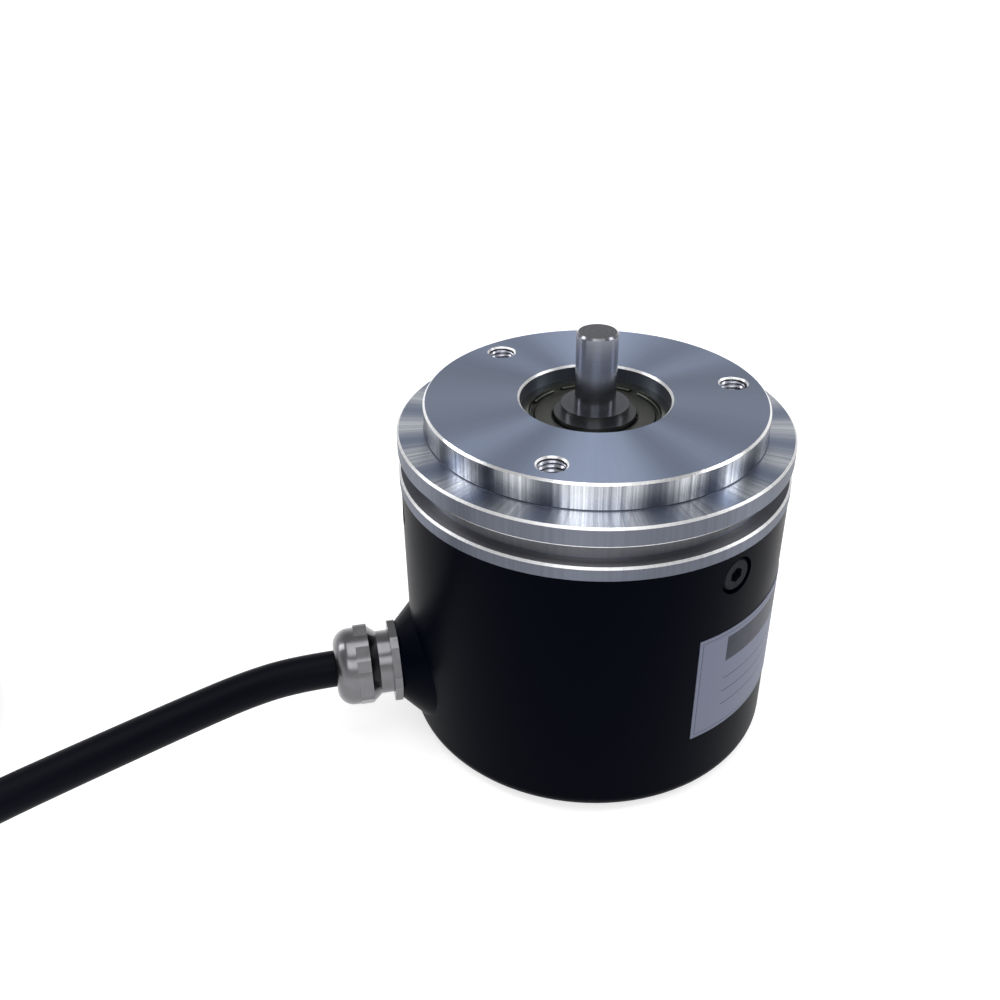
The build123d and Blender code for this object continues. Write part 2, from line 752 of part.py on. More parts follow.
def lead_start():
    """A frame at the jacket's cut end in the inner bottom turn: X runs on along the turn."""
    x, y = coil_centre
    turn_radius = coil_mean_radius - cable_radius
    return Pos(x, y, tie_thickness + cable_radius) * Rot(0, 0, lead_azimuth) * Pos(
        turn_radius, 0, 0) * Rot(0, 0, -90)


def make_cable_coil():
    """The outer shape of the wound length, open where the cable joins and where it ends."""
    x, y = coil_centre
    body = Pos(x, y, 0) * ring(2 * coil_inner_radius, 2 * coil_outer_radius, tie_thickness, coil_top_z)
    notch = make_face(Polyline((0, 0), (0, -cable_diameter * 2), (entry_notch_length, -cable_diameter * 2),
                               (entry_notch_length, entry_notch_flare), close=True))
    body -= Pos(x, y - coil_mean_radius + tie_clearance, 0) * extrude(notch, coil_top_z)
    end = Box(lead_notch_length, 2 * cable_diameter, cable_diameter, align=(Align.MIN, Align.MAX, Align.CENTER))
    body -= lead_start() * Pos(0, cable_radius, 0) * end
    return body


def make_coil_ties():
    """Two straps round the coil, each with its locking head on the outside."""
    x, y = coil_centre
    inner = coil_inner_radius - tie_clearance
    outer = coil_outer_radius + tie_clearance
    low = tie_thickness - tie_clearance
    high = coil_top_z + tie_clearance
    t = tie_thickness - tie_clearance
    strap = Pos((inner + outer) / 2, 0, (low + high) / 2) * (
        Box(outer - inner + 2 * t, tie_width, high - low + 2 * t) - Box(outer - inner, 2 * tie_width, high - low))
    head = Pos(outer + t, 0, (low + high) / 2) * Box(
        tie_head_height, tie_width + 2 * t, tie_head_length, align=(Align.MIN, Align.CENTER, Align.CENTER))
    return [Pos(x, y, 0) * Rot(0, 0, azimuth) * (strap + head) for azimuth in tie_azimuths]


def make_lead_wires():
    """The five free conductors, fanned out over the floor inside the coil, inner ones first."""
    place = lead_start()
    floor = conductor_diameter / 2 - tie_thickness - cable_radius
    half = (conductor_count - 1) / 2
    wires = []
    for k in range(conductor_count):
        side = (k / half - 1) * (cable_radius - conductor_diameter)
        rise = (1 - 2 * (k % 2)) * (cable_radius - conductor_diameter) / 2
        turn = radians(lead_first_turn + lead_turn_step * k)
        x, y = lead_straight + lead_straight_step * k, side
        points = [(0, side, rise), (x, y, rise)]
        for run, share, drop in zip(lead_runs, lead_turn_shares, lead_drops):
            x += run * cos(share * turn)
            y += run * sin(share * turn)
            points.append((x, y, rise + (floor - rise) * drop))
        wire, _, _ = tube([(place * Pos(*p)).position for p in points], conductor_diameter)
        wires.append(wire)
    return wires


def save(name, shape):
    """Writes one node, made of one solid or several."""
    solids = shape if isinstance(shape, list) else shape.solids()
    export_step(Compound(children=[s for part in solids for s in part.solids()]), f"parts/{name}.step")


bearings = {"front": front_bearing_z, "rear": rear_bearing_z}

nodes = {
    "flange": make_flange(),
    "housing": make_housing(),
    "housing_screws": make_wall_screws(),
    "housing_seal": make_housing_seal(),
    "shaft": make_shaft(),
    "inner_spacer": ring(bearing_bore, bearing_bore + 2 * spacer_wall,
                         rear_bearing_z + bearing_width, front_bearing_z),
    "shaft_circlip": split_ring(bearing_bore - 2 * circlip_groove_depth,
                                bearing_bore - 2 * circlip_groove_depth + 2 * circlip_width,
                                rear_bearing_z - circlip_thickness, circlip_thickness, circlip_gap),
    "preload_washer": make_preload_washer(),
    "retaining_ring": split_ring(bearing_diameter + 2 * ring_groove_depth - 2 * retaining_ring_width,
                                 bearing_diameter + 2 * ring_groove_depth,
                                 retaining_ring_z, retaining_ring_thickness, ring_slot_gap),
    "disc_hub": make_disc_hub(),
    "code_disc": make_code_disc(),
    "disc_clamp_ring": make_clamp_ring(),
    "disc_screws": make_disc_screws(),
    "hub_set_screws": make_grub_screws(),
    "circuit_board": make_board(),
    "board_pillars": make_pillars(),
    "board_screws": make_board_screws(),
    "photodetector": make_sensor(),
    "reticle": make_reticle(),
    "lamp_bracket": make_bracket(),
    "lamp": make_lamp(),
    "driver_chips": make_chips(),
    "board_header": make_header(),
    "wire_plug": make_plug(),
    "conductors": make_conductors(),
    "gland_body": make_gland_body(),
    "gland_gasket": make_gland_gasket(),
    "gland_bush": make_gland_seal(),
    "gland_washer": make_thrust_washer(),
    "gland_nut": make_gland_nut(),
    "cable_entry": make_cable_entry(),
    "cable_run": make_cable_run(),
    "cable_coil": make_cable_coil(),
    "coil_ties": make_coil_ties(),
    "lead_wires": make_lead_wires(),
}
for name, bottom in bearings.items():
    nodes[f"{name}_bearing_outer_ring"] = make_outer_ring(bottom)
    nodes[f"{name}_bearing_inner_ring"] = make_inner_ring(bottom)
    nodes[f"{name}_bearing_shields"] = make_shields(bottom)
    nodes[f"{name}_bearing_balls"] = make_balls(bottom)
    nodes[f"{name}_bearing_cage"] = make_cage(bottom)

for name, shape in nodes.items():
    save(name, shape)
print(len(nodes), "nodes written")
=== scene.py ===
# %% [markdown]
# An incremental rotary encoder stands on a white table. Its body, shaft, bearings and inner parts come
# from the CAD model, which loads as a fixed frame in metres: +Z runs up the shaft and the cable leaves
# towards -X. This file adds what a solid can't hold, which is the free cable, threads, sheet pressings,
# the label, and every finish.

from math import cos, pi, radians, sin

import bmesh
import bpy
import numpy as np
from mathutils import Matrix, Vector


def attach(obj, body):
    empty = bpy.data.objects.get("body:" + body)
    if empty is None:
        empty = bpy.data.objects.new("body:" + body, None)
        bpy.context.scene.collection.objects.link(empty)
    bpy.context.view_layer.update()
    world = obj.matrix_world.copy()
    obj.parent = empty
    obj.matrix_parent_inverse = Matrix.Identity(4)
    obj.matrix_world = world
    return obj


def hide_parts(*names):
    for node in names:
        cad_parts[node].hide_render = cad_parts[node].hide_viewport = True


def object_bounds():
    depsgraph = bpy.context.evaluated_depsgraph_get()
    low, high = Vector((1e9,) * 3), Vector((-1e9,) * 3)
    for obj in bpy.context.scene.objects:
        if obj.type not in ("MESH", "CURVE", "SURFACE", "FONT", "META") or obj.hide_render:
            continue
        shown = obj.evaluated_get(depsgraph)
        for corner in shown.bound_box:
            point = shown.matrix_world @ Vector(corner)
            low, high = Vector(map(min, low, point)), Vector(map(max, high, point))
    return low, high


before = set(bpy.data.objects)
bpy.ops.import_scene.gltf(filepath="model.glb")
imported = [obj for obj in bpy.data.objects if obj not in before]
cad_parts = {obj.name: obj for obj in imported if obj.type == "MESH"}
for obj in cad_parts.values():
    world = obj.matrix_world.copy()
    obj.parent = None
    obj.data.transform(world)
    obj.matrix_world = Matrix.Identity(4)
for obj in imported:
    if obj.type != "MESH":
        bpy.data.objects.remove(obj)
cad_box = [[float(x) for x in corner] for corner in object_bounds()]
mm = 0.001
print(len(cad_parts), "nodes, box", cad_box)

# %% [markdown]
# The photograph was taken by hand from about 18 cm away, so the view is strongly tapered. Its camera was
# found by fitting the flange's circles, and is written here as a place and three directions, which leaves
# no rotation order to get wrong. The focal length belongs to a 36 mm wide sensor.

# %% Camera
camera_place = (-0.036773, -0.131705, 0.120505)
camera_right = (0.984251, -0.176340, -0.012480)
camera_up = (0.103097, 0.515230, 0.850829)
camera_forward = (0.143604, 0.838716, -0.525295)
view = bpy.data.cameras.new("view")
view.sensor_width = 36.0
view.lens = 37.476
view.clip_start = 0.005
camera = bpy.data.objects.new("camera", view)
bpy.context.scene.collection.objects.link(camera)
turn = np.eye(4)
turn[:3, 0], turn[:3, 1], turn[:3, 2] = camera_right, camera_up, -np.array(camera_forward)
turn[:3, 3] = camera_place
camera.matrix_world = Matrix(turn.tolist())
bpy.context.scene.camera = camera
bpy.context.scene.view_settings.view_transform = "Standard"
print("camera at", camera_place, "lens", view.lens)

# %% [markdown]
# The encoder's cable is one length of round jacket. It leaves the gland level, sinks under its own weight
# to the table, and the rest is wound as it would be for storage. The first points were measured on the
# photograph, in millimetres. The coil's turns are more points of the same curve. Each stands where two
# tangents meet, a little outside the turn, at distance r / cos(half a step), and the turns climb to the
# next row and cross over one another where a hand would let them.

# %% Route of the free cable
cable_diameter = 5.8 * mm
cable_exit = (-40.575, -1.417, 10.6)
route = [
    (-47.4, -1.66, 10.6),
    (-55.0, -3.7, 10.6),
    (-64.5, -8.2, 10.6),
    (-76.0, -14.1, 10.7),
    (-88.0, -20.0, 10.5),
    (-99.5, -25.1, 9.2),
    (-110.5, -29.3, 6.4),
    (-120.5, -32.3, 4.4),
    (-129.8, -33.6, 3.92),
]
coil_entry = (-139.0, -33.7, 3.9)
coil_centre = (-139.0, 4.0)
coil_turn = 1475.0
coil_steps = 74

# Where the turns lie: degrees wound so far, radius and height of the cable's middle
coil_stations = np.array([
    (0, 37.7, 3.9), (210, 37.7, 3.9), (265, 38.9, 6.8), (320, 37.7, 9.7),
    (570, 37.7, 9.7), (625, 34.8, 11.1), (680, 31.9, 9.7),
    (930, 31.9, 9.7), (985, 31.3, 15.0), (1040, 34.8, 14.8),
    (1200, 34.8, 14.8), (1223, 29.0, 14.8), (1242, 26.0, 9.7), (1261, 28.6, 4.6), (1280, 31.9, 3.9),
    (1475, 31.9, 3.9),
])


def coil_points(wound):
    """Points of the coil's middle line, clockwise from -90 degrees, between the stations."""
    radius = np.interp(wound, coil_stations[:, 0], coil_stations[:, 1])
    height = np.interp(wound, coil_stations[:, 0], coil_stations[:, 2])
    azimuth = np.radians(-90.0 - wound)
    x = coil_centre[0] + radius * np.cos(azimuth)
    y = coil_centre[1] + radius * np.sin(azimuth)
    return np.stack([x, y, height], 1)


step = coil_turn / coil_steps
tangent_corners = coil_points((np.arange(coil_steps) + 0.5) * step)
centre = np.array([*coil_centre, 0.0])
outset = np.array([1.0, 1.0, 0.0]) / cos(radians(step / 2)) + np.array([0.0, 0.0, 1.0])
tangent_corners = centre + (tangent_corners - centre) * outset
coil_end = coil_points(np.array([coil_turn]))
cable_points = np.vstack([cable_exit, route, coil_entry, tangent_corners, coil_end]) * mm
print(len(cable_points), "points, the coil from", cable_points[10].round(4), "to", cable_points[-1].round(4))

# %% [markdown]
# A cable bends in one smooth sweep, so it is a NURBS curve whose control points are the route's corners.
# The curve cuts inside them and never kinks, and starts and ends on the first and last one. Such a curve
# with a round bevel is a tube, and its ends are capped.

# %% A smooth curve through a route
def smooth_curve(name, runs, diameter, ring=8):
    """A round NURBS tube for each run of control points, which touches its first and last point.

    The bevel is one metre and each point's own radius scales it down, because Blender measures a curve's
    box with the points' radius."""
    curve = bpy.data.curves.new(name, "CURVE")
    curve.dimensions = "3D"
    curve.bevel_depth = 1.0
    curve.bevel_resolution = ring
    curve.resolution_u = 6
    curve.use_fill_caps = True
    for points in runs:
        spline = curve.splines.new("NURBS")
        spline.points.add(len(points) - 1)
        spline.points.foreach_set("co", np.column_stack([points, np.ones(len(points))]).ravel())
        spline.points.foreach_set("radius", np.full(len(points), diameter / 2))
        spline.order_u = 3
        spline.use_endpoint_u = True
    piece = bpy.data.objects.new(name, curve)
    bpy.context.scene.collection.objects.link(piece)
    return piece


cable = smooth_curve("cable", [cable_points], cable_diameter)
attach(cable, "stator")
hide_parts("cable_run", "cable_coil")
print("cable of", len(cable.data.splines[0].points), "control points")

# %% [markdown]
# Five insulated conductors come out of the jacket's cut end, each with a few millimetres of bare strands
# for a terminal. They are the same kind of curve as the cable, one spline each, so that every wire can
# have its own colour by its material number.

# %% Free leads
lead_diameter = 1.2 * mm
strand_diameter = 0.6 * mm
lead_count = 5
lead_spread, lead_stack, lead_rest = 1.7, 0.85, -3.3
bare_reaches = (-1.0, 1.5, 3.0)
lead_azimuth = (-90.0 - coil_turn) % 360.0
lead_radius, lead_height = coil_stations[-1, 1:]


def lead_route(k, runs=(3.5, 5.5, 6.5, 8.5)):
    """Corners of lead k: out of the jacket's end along the turn, then in and down to the table."""
    side = (k / 2 - 1) * lead_spread
    rise = (1 - 2 * (k % 2)) * lead_stack
    bend = np.radians(-108.0 + 11.5 * k) * np.array([0.45, 1.0, 1.15])
    x = np.cumsum([0.0, runs[0] + 1.2 * k, *(np.array(runs[1:]) * np.cos(bend))])
    y = side + np.cumsum([0.0, 0.0, *(np.array(runs[1:]) * np.sin(bend))])
    z = rise + (lead_rest - rise) * np.array([0.0, 0.0, 0.5, 0.95, 1.0])
    along = np.radians(lead_azimuth - 90.0)
    start = np.array([coil_centre[0] + lead_radius * cos(radians(lead_azimuth)),
                      coil_centre[1] + lead_radius * sin(radians(lead_azimuth)), lead_height])
    direction = np.array([np.cos(along), np.sin(along), 0.0])
    across = np.array([-direction[1], direction[0], 0.0])
    upward = np.array([0.0, 0.0, 1.0])
    return (start + x[:, None] * direction + y[:, None] * across + z[:, None] * upward) * mm


leads = smooth_curve("lead_wires_cut", [lead_route(k) for k in range(lead_count)], lead_diameter, ring=5)
tips = []
for k in range(lead_count):
    corners = lead_route(k)
    end = corners[-1]
    ahead = (end - corners[-2]) / np.linalg.norm(end - corners[-2])
    tips.append(np.array([end + ahead * reach * mm for reach in bare_reaches]))
bare_tips = smooth_curve("lead_tips", tips, strand_diameter, ring=4)
for part in (leads, bare_tips):
    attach(part, "stator")
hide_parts("lead_wires")
print("leads end at", [lead_route(k)[-1].round(4).tolist() for k in range(lead_count)])

# %% [markdown]
# A shader is a small circuit of nodes. Written node by node it is long and hard to read, so two helpers
# carry the arithmetic. A Signal is one output that can be added, multiplied or compared like a number, and
# a Finish is a material whose node() places any other node: its type, its settings, then its sockets.

# %% Shader helpers
class Signal:
    """An output in a node tree. Each operator adds the Math node for that sum and gives its output."""

    def __init__(self, finish, socket):
        self.finish, self.socket = finish, socket

    def sum(self, operation, *values):
        return self.finish.maths(operation, *values)

    def __add__(self, other):
        return self.sum("ADD", self, other)

    def __radd__(self, other):
        return self.sum("ADD", other, self)

    def __sub__(self, other):
        return self.sum("SUBTRACT", self, other)

    def __rsub__(self, other):
        return self.sum("SUBTRACT", other, self)

    def __mul__(self, other):
        return self.sum("MULTIPLY", self, other)

    def __rmul__(self, other):
        return self.sum("MULTIPLY", other, self)

    def __pow__(self, other):
        return self.sum("POWER", self, other)

    def __gt__(self, other):
        return self.sum("GREATER_THAN", self, other)

    def __lt__(self, other):
        return self.sum("LESS_THAN", self, other)

    def __abs__(self):
        return self.sum("ABSOLUTE", self)

    def clip(self):
        """The same value, held between 0 and 1."""
        return self.finish.node("ShaderNodeClamp", values=[self])

    def least(self, other):
        """The smaller of two values."""
        return self.sum("MINIMUM", self, other)


class Finish:
    """A new material with a Principled shader. Keyword values are set on its sockets by name."""

    def __init__(self, name, **sockets):
        self.material = bpy.data.materials.new(name)
        self.material.use_nodes = True
        self.tree = self.material.node_tree
        self.shader = self.tree.nodes["Principled BSDF"]
        self.place = self.node("ShaderNodeTexCoord", out="Object")
        self.set(**sockets)

    def node(self, kind, settings=None, values=(), out=0):
        """Any node: its type, its settings, its sockets by number or name, and which output to give back."""
        made = self.tree.nodes.new(kind)
        for name, value in (settings or {}).items():
            setattr(made, name, value)
        for key, value in values.items() if isinstance(values, dict) else enumerate(values):
            self.join(value, made.inputs[key])
        return Signal(self, made.outputs[out])

    def maths(self, operation, *values):
        return self.node("ShaderNodeMath", {"operation": operation}, values)

    def join(self, value, socket):
        """Links a signal to a socket, or sets a plain value on it."""
        if isinstance(value, Signal):
            self.tree.links.new(value.socket, socket)
        else:
            socket.default_value = value

    def set(self, **sockets):
        for name, value in sockets.items():
            self.join(value, self.shader.inputs[name.replace("_", " ")])

    def mix(self, factor, first, second):
        """A colour between two: the first where factor is 0 and the second where it is 1."""
        return self.node("ShaderNodeMix", {"data_type": "RGBA"}, {0: factor, 6: first, 7: second}, out=2)

    def vector(self, operation, *values):
        return self.node("ShaderNodeVectorMath", {"operation": operation}, values)

    def axes(self):
        """The three numbers of a point in the object's own metres."""
        split = self.node("ShaderNodeSeparateXYZ", values=[self.place])
        outputs = split.socket.node.outputs
        return [Signal(self, outputs[k]) for k in range(3)]

    def flatness(self):
        """1 on a level face, 0 on an upright one: the size of the normal's own height."""
        facing = self.node("ShaderNodeNewGeometry", out="Normal")
        return abs(self.node("ShaderNodeSeparateXYZ", values=[facing], out="Z"))

    def noise(self, scale, at=None, detail=2.0, roughness=0.5, dimensions="3D"):
        """Smooth random values near 0.5 that change about scale times in a metre."""
        spot = {"W" if dimensions == "1D" else "Vector": self.place if at is None else at}
        return self.node("ShaderNodeTexNoise", {"noise_dimensions": dimensions},
                         {**spot, "Scale": scale, "Detail": detail, "Roughness": roughness})

    def bump(self, height, distance):
        """A normal that leans as a surface would with this height, times the distance in metres."""
        sizes = {"Height": height, "Distance": distance, "Strength": 1.0}
        return self.node("ShaderNodeBump", values=sizes)


def grey(value):
    """A neutral colour, opaque."""
    return (value, value, value, 1.0)


print("helpers ready")

# %% [markdown]
# Every node of the CAD model keeps its mesh, and takes a finish in its material slot. New pieces are grids
# of points worked out as whole arrays, and one function joins neighbours on the grid with four-cornered
# faces. A side of the grid that closes on itself is wrapped, so the surface has no seam.

# %% Dressing and meshing
def dress(finish, *names):
    """Puts a finish in every material slot of the named nodes."""
    for name in names:
        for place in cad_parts[name].material_slots:
            place.material = finish.material


def grid_faces(rows, columns, wrap_rows=False, wrap_columns=False):
    """Corner numbers of the faces between neighbouring grid points. A wrapped last line meets the first."""
    i = np.arange(rows if wrap_rows else rows - 1)[:, None]
    j = np.arange(columns if wrap_columns else columns - 1)[None, :]
    below, above = i * columns, (i + 1) % rows * columns
    left, right = j, (j + 1) % columns
    return np.stack([below + left, below + right, above + right, above + left], axis=-1).reshape(-1, 4)


def make_piece(name, parts, finish, body, replaced=(), sharp=40.0):
    """One mesh object from several closed (points, faces), smooth but for edges sharper than the angle.

    Points that coincide are merged, which closes poles and tapered ends, and faces turn outwards."""
    points, faces, count = [], [], 0
    for part_points, part_faces in parts:
        points.append(part_points.reshape(-1, 3))
        faces.append(part_faces + count)
        count += len(points[-1])
    mesh = bpy.data.meshes.new(name)
    mesh.from_pydata(np.vstack(points).tolist(), [], np.vstack(faces).tolist())
    joined = bmesh.new()
    joined.from_mesh(mesh)
    bmesh.ops.remove_doubles(joined, verts=joined.verts, dist=1e-7)
    bmesh.ops.recalc_face_normals(joined, faces=joined.faces)
    joined.to_mesh(mesh)
    joined.free()
    mesh.shade_smooth()
    mesh.set_sharp_from_angle(angle=radians(sharp))
    mesh.materials.append(finish.material)
    piece = bpy.data.objects.new(name, mesh)
    bpy.context.scene.collection.objects.link(piece)
    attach(piece, body)
    if replaced:
        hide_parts(*replaced)
    print(name, len(mesh.vertices), "points", len(mesh.polygons), "faces")
    return piece


def lathe(profile, around=180):
    """A closed outline of (radius, height) points carried once round Z."""
    profile = np.array(profile, float) * mm
    angles = np.linspace(0.0, 2 * pi, around, endpoint=False)[:, None]
    radius, height = profile[:, 0], profile[:, 1]
    points = np.stack(np.broadcast_arrays(np.cos(angles) * radius, np.sin(angles) * radius, height), axis=-1)
    return points, grid_faces(around, len(profile), wrap_rows=True, wrap_columns=True)


def spiral_bead(section, azimuths, heights, taper):
    """A closed (radius, height) section carried along a spiral about Z, its ends drawn to a point.

    At azimuth a the section's points are (r cos a, r sin a, height + h), and over the first and last of
    the taper's steps they shrink towards the section's outermost point as a quarter circle does."""
    section = np.array(section, float) * mm
    count = len(azimuths)
    near_end = np.minimum(np.arange(count), np.arange(count)[::-1]) / taper
    size = np.sqrt(1 - (1 - np.clip(near_end, 0, 1)) ** 2)[:, None]
    root = section[np.argmax(section[:, 0])]
    radius = root[0] + (section[:, 0] - root[0]) * size
    height = np.asarray(heights)[:, None] * mm + root[1] + (section[:, 1] - root[1]) * size
    angle = np.radians(azimuths)[:, None]
    points = np.stack([np.cos(angle) * radius, np.sin(angle) * radius, height], axis=-1)
    return points, grid_faces(count, len(section), wrap_columns=True)


# %% [markdown]
# The flange is turned from aluminium bar. A lathe tool leaves fine grooves round the axis, so light spreads
# across them and stays sharp along them: that is what draws the bright fan on the face and the upright
# streaks on the walls. The shader's anisotropy does this, with its long axis turned across the grooves. The
# grooves themselves vary, which a noise that reads only the radius or only the angle imitates. The pilot's
# wall and the shoulder also carry painted reflections: bright bands in their colour at even steps of angle,
# with the shoulder holding a painted mirror copy of the wall's bands. They are the peaks of (1 - cos(18 a)) /
# 2, and cos(a)^60 adds a wider painted highlight at the middle of the front and back.

# %% Flange finish
painted_band_front = radians(-102.6)
painted_band_count = 18.0
painted_band_shift = radians(4.0)
turned = Finish("turned_aluminium", Metallic=1.0, Anisotropic=0.95, Anisotropic_Rotation=0.25)
x, y, z = turned.axes()
radius = (x * x + y * y) ** 0.5

# Each zone by height and radius in metres, with its limits a little off the faces
flatness = turned.flatness()
level = flatness > 0.85
chamfer = (flatness > 0.5) * (flatness < 0.85)
pilot = (z > 0.0502) * (radius > 0.0240) * (1.0 - level)
shoulder = level * (radius > 0.0251) * (z > 0.0480)
in_groove = (radius < 0.0272) * (radius > 0.0255) * (z < 0.0472) * (z > 0.0438)
upper_rim = (z < 0.04995) * (z > 0.0468) * (radius > 0.0280)
lower_rim = (z < 0.0441) * (radius > 0.0280)
ledge = level * (z < 0.0455) * (radius > 0.0266)

# Tool marks
direction = turned.vector("NORMALIZE", turned.node("ShaderNodeCombineXYZ", values=[x, y, 0.0]))
streaks = turned.noise(34.0, at=direction, detail=5.0, roughness=0.8)
rings = turned.noise(5200.0, at=radius + z * 1.7, detail=3.0, roughness=0.7, dimensions="1D")
cloud = turned.noise(90.0, detail=3.0)
# Painted reflection: bright bands by angle for the pilot's wall and the shoulder, and a wider painted
# highlight at the front and back
ahead = x * cos(painted_band_front) + y * sin(painted_band_front)
aside = y * cos(painted_band_front) - x * sin(painted_band_front)
angle = turned.maths("ARCTAN2", aside, ahead)
wave = turned.maths("COSINE", (abs(angle) + painted_band_shift) * painted_band_count)
middle = abs(turned.maths("COSINE", angle)) ** 60.0
drift = turned.noise(2.6, at=direction, detail=1.0)
lines = 0.15 + ((streaks - 0.33) * 2.6).clip()
painted_reflection_bands = (0.5 - wave * 0.5 + middle).clip() * lines * (0.5 + drift * 0.8)

# Colour by zone, then the marks over all of it. The upright walls and rims take much darker colours than the
# level faces: painted shade that dims their mirror of the white table.
colour = turned.mix(upper_rim, (0.08, 0.09, 0.115, 1.0), (0.19, 0.205, 0.25, 1.0))
colour = turned.mix(lower_rim, colour, (0.175, 0.19, 0.235, 1.0))
colour = turned.mix(in_groove, colour, (0.23, 0.235, 0.255, 1.0))
# The painted reflection bands brighten the pilot's wall, and a painted mirror copy of them brightens the
# shoulder
colour = turned.mix((painted_reflection_bands * pilot).clip(), colour, (0.9, 0.92, 0.96, 1.0))
colour = turned.mix(level, colour, (0.28, 0.33, 0.45, 1.0))
colour = turned.mix((painted_reflection_bands * shoulder * 1.4).clip(), colour, (0.85, 0.88, 0.93, 1.0))
colour = turned.mix(ledge, colour, (0.20, 0.20, 0.215, 1.0))
# Painted highlight: the chamfers are near white, so that they show as bright edge lines
colour = turned.mix(chamfer, colour, (0.95, 0.95, 0.96, 1.0))
streak_depth = 0.2 + 0.5 * (1.0 - level)
shade = 0.94 + rings * 0.06 + (streaks - 0.5) * streak_depth + (cloud - 0.5) * 0.06
shade = turned.node("ShaderNodeCombineColor", values=[shade, shade, shade])
multiply = {"data_type": "RGBA", "blend_type": "MULTIPLY"}
colour = turned.node("ShaderNodeMix", multiply, {0: 1.0, 6: colour, 7: shade}, out=2)
rims = upper_rim + lower_rim + in_groove
roughness = 0.38 + rings * 0.05 + rims * 0.08 - (pilot + shoulder) * 0.16
turned.set(Base_Color=colour, Roughness=roughness, Normal=turned.bump(rings, 0.002 * mm))
dress(turned, "flange")
print("flange dressed")

# %% [markdown]
# The housing is a drawn cup under a black satin coating. Seen flat on it is nearly black, and towards its
# outline it turns grey, because even a dull coating mirrors at a low angle. A fine orange-peel bump keeps
# that sheen soft, and faint cloudy changes in roughness stand for handling.

# %% Black coating
coating = Finish("black_coating", IOR=1.08)
smear = coating.noise(60.0, detail=4.0, roughness=0.6)
peel = coating.noise(9000.0, detail=2.0)
speck = coating.node("ShaderNodeTexVoronoi", values={"Vector": coating.place, "Scale": 700.0}, out="Distance")
dust = (speck < 0.06) * (coating.noise(300.0) > 0.62)
coating.set(Base_Color=coating.mix(dust * 0.5, (0.0003, 0.0009, 0.0038, 1.0), (0.007, 0.008, 0.012, 1.0)),
            Roughness=0.33 + (smear - 0.5) * 0.14, Normal=coating.bump(peel, 0.004 * mm))
dress(coating, "housing")
print("housing dressed")

# %% [markdown]
# The cable's jacket is extruded black plastic, satin, with a soft line of light along its top. Extrusion
# leaves only faint dullness, so a plain fine noise is enough for its surface. The leads are glossier, each
# in a colour of its own, and their bare strands are tinned copper with a slanting lay.

# %% Jacket and leads
jacket = Finish("cable_jacket", IOR=1.15)
haze = jacket.noise(400.0, detail=3.0)
jacket.set(Base_Color=jacket.mix(haze, (0.0006, 0.0013, 0.0040, 1.0), (0.0014, 0.0024, 0.0058, 1.0)),
           Roughness=0.38 + haze * 0.1, Normal=jacket.bump(jacket.noise(5000.0), 0.01 * mm))
cable.data.materials.append(jacket.material)
dress(jacket, "cable_entry", "cable_run", "cable_coil")
lead_colours = {"brown": (0.12, 0.045, 0.02), "white": (0.7, 0.7, 0.68), "green": (0.02, 0.22, 0.06),
                "yellow": (0.75, 0.5, 0.03), "grey": (0.2, 0.2, 0.21)}
for number, (name, tint) in enumerate(lead_colours.items()):
    insulation = Finish("lead_" + name, IOR=1.45)
    mottle = insulation.noise(900.0, detail=2.0)
    insulation.set(Base_Color=insulation.mix(mottle, (*[c * 0.85 for c in tint], 1.0), (*tint, 1.0)),
                   Roughness=0.34 + mottle * 0.12, Normal=insulation.bump(mottle, 0.02 * mm))
    leads.data.materials.append(insulation.material)
    leads.data.splines[number].material_index = number
    if name == "white":
        dress(insulation, "conductors", "lead_wires")
strands = Finish("tinned_strands", Metallic=1.0)
lay = strands.node("ShaderNodeTexWave", {"bands_direction": "DIAGONAL"},
                   {"Vector": strands.place, "Scale": 1400.0, "Distortion": 0.4})
strands.set(Base_Color=strands.mix(lay, (0.35, 0.34, 0.32, 1.0), (0.8, 0.78, 0.74, 1.0)),
            Roughness=0.3 + lay * 0.2, Normal=strands.bump(lay, 0.05 * mm))
bare_tips.data.materials.append(strands.material)
print("cable and leads dressed")

# %% [markdown]
# The shaft is ground stainless steel, finer than the flange, with grinding marks round it. Its end and its
# collar's face are painted far darker than its sides, as painted shade for the dim mirror they show. The
# bearing rings beside it are bearing steel, and their inner rings and the spacer down in the bore are painted
# darker still, as painted shade.

# %% Steels
def round_metal(name, dark, light, roughness, grain, depth, painted_shade_faces=None):
    """Bright metal with marks round Z, a noise along height and radius, in its colour and its bump.

    Level faces can have a darker colour of their own, painted shade picked out by the normal."""
    finish = Finish(name, Metallic=1.0, Anisotropic=0.6, Anisotropic_Rotation=0.25)
    x, y, z = finish.axes()
    radius = (x * x + y * y) ** 0.5
    marks = finish.noise(grain, at=z + radius * 1.3, detail=3.0, roughness=0.7, dimensions="1D")
    soil = finish.noise(220.0, detail=3.0)
    colour = finish.mix(marks * 0.6 + soil * 0.4, dark, light)
    if painted_shade_faces:
        colour = finish.mix(finish.flatness() > 0.9, colour, finish.mix(marks, painted_shade_faces, dark))
    finish.set(Base_Color=colour, Roughness=roughness + marks * 0.1, Normal=finish.bump(marks, depth * mm))
    return finish


ground_steel = round_metal("ground_steel", (0.20, 0.205, 0.23, 1.0), (0.30, 0.305, 0.33, 1.0),
                           0.17, 3500.0, 0.002, painted_shade_faces=(0.03, 0.032, 0.042, 1.0))
